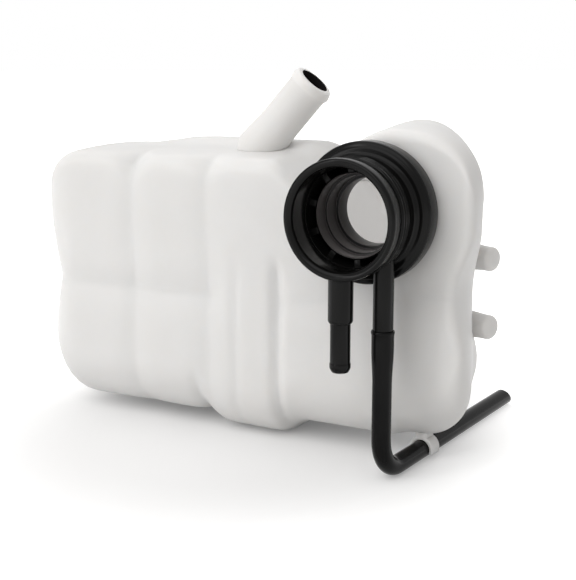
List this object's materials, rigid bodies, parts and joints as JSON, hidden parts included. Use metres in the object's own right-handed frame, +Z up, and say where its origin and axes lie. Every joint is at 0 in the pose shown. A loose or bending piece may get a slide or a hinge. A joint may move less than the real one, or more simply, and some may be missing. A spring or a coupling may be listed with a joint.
{
  "type": "coolant expansion tank",
  "caption": "Blow-moulded translucent coolant expansion tank with a black threaded filler neck, a slanted top outlet and an overflow hose clipped under it.",
  "frame": {"origin": "on the floor under the middle of the part's box", "axes": "+Z up, the tank is as long as X, the filler neck opens towards -Y"},
  "size_m": [0.27, 0.1794, 0.1998],
  "materials": {
    "tank": "translucent natural polypropylene, satin",
    "neck": "black moulded plastic, semi-gloss",
    "seal": "black rubber ring",
    "hose": "smooth black rubber"
  },
  "bodies": {
    "root": {"tank_shell": "tank", "filler_neck": "neck", "neck_seal": "seal", "overflow_hose": "hose"}
  },
  "joints": []
}
